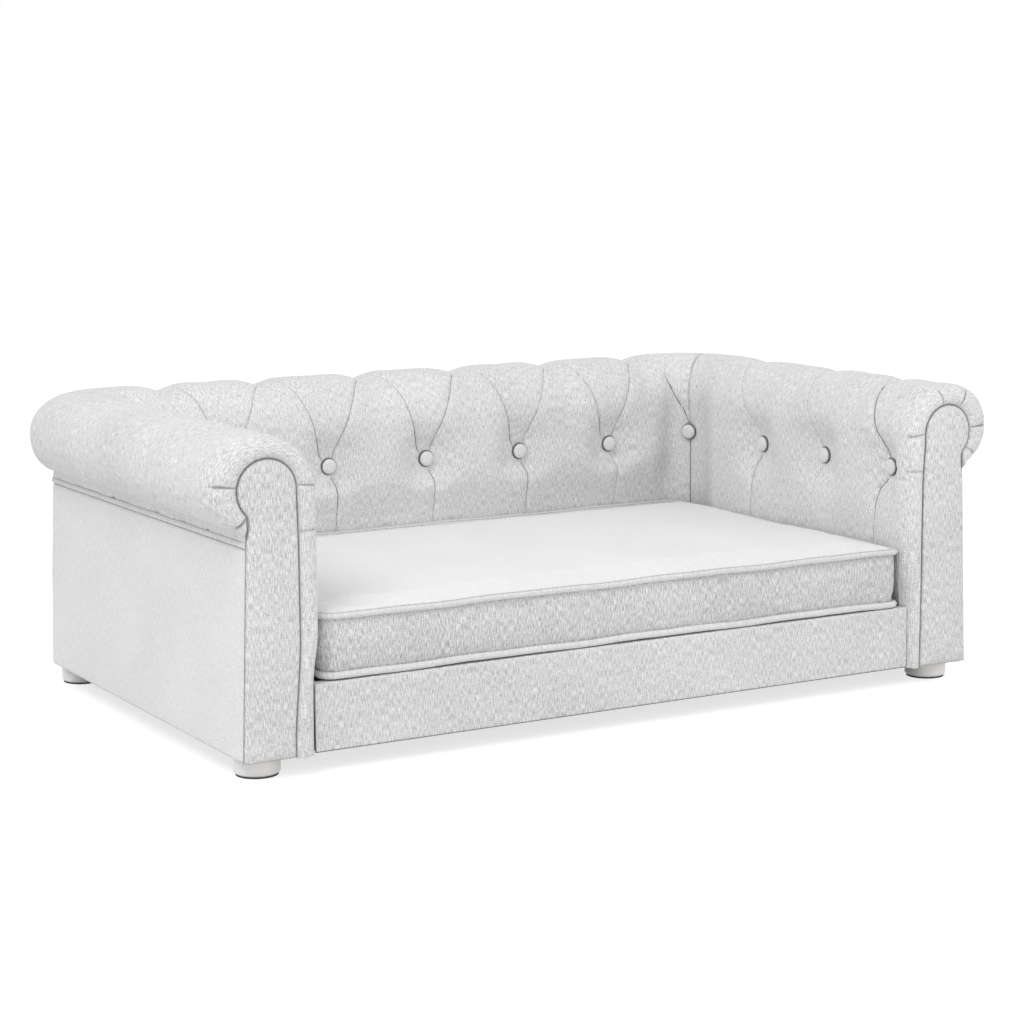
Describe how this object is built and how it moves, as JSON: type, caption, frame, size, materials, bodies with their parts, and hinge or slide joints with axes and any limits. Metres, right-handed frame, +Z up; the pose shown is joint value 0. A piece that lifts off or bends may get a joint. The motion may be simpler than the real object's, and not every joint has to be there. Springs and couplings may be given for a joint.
{
  "type": "dog sofa bed",
  "caption": "Low tufted dog sofa with rolled arms and back, keyhole arm facings, a loose welted box cushion that lifts out, covered buttons and round feet.",
  "frame": {"origin": "on the floor under the middle of the footprint", "axes": "+X to the sofa's right as seen from the front, +Y from the open front to the back, +Z up"},
  "size_m": [0.9878, 0.5889, 0.348],
  "materials": {
    "plywood": "bare birch plywood",
    "pine": "planed pine",
    "tufted_linen": "pale grey heathered linen weave, tufted over foam",
    "panel_linen": "pale grey heathered linen weave over thin wadding",
    "cushion_linen": "pale grey heathered linen weave over foam",
    "welt_linen": "pale grey linen, bias cut over a cord",
    "button_linen": "pale grey linen over a button mould",
    "under_cloth": "dark non-woven cloth",
    "foot_lacquer": "pale satin",
    "glide_rubber": "matt",
    "bolt_steel": "zinc plated",
    "zip_tape": "woven zip tape",
    "zip_metal": "nickel plated"
  },
  "bodies": {
    "frame": {"seat_platform": "plywood", "platform_cloth": "under_cloth", "cross_bearers": "pine", "ledger_strips": "pine", "front_rail": "plywood", "back_inner_board": "plywood", "back_outer_board": "plywood", "left_inner_board": "plywood", "right_inner_board": "plywood", "left_outer_board": "plywood", "right_outer_board": "plywood", "left_front_board": "plywood", "right_front_board": "plywood", "left_roll_rail": "pine", "right_roll_rail": "pine", "back_roll_rail": "pine", "front_left_block": "pine", "front_right_block": "pine", "rear_left_block": "pine", "rear_right_block": "pine", "left_arm_pad": "tufted_linen", "right_arm_pad": "tufted_linen", "back_pad": "tufted_linen", "left_side_cover": "panel_linen", "right_side_cover": "panel_linen", "back_cover": "panel_linen", "front_rail_cover": "panel_linen", "left_facing": "panel_linen", "right_facing": "panel_linen", "left_arm_welt": "welt_linen", "right_arm_welt": "welt_linen", "back_welt": "welt_linen", "dust_cover": "under_cloth", "back_button_1": "button_linen", "back_button_2": "button_linen", "back_button_3": "button_linen", "back_button_4": "button_linen", "back_button_5": "button_linen", "left_corner_button": "button_linen", "right_corner_button": "button_linen", "left_button_1": "button_linen", "left_button_2": "button_linen", "left_button_3": "button_linen", "right_button_1": "button_linen", "right_button_2": "button_linen", "right_button_3": "button_linen", "front_left_foot": "foot_lacquer", "front_right_foot": "foot_lacquer", "rear_left_foot": "foot_lacquer", "rear_right_foot": "foot_lacquer", "foot_glides": "glide_rubber", "hanger_bolts": "bolt_steel"},
    "cushion": {"seat_cushion": "cushion_linen", "cushion_top_welt": "welt_linen", "cushion_bottom_welt": "welt_linen", "zip_tape": "zip_tape"},
    "zip_slider": {"zip_slider": "zip_metal"}
  },
  "joints": [
    {"name": "cushion_lift", "type": "slide", "parent": "frame", "child": "cushion", "axis": [0, -0.7071, 0.7071], "range_m": [0, 0.3]},
    {"name": "zip_slide", "type": "slide", "parent": "cushion", "child": "zip_slider", "axis": [-1, 0, 0], "range_m": [0, 0.53]}
  ]
}
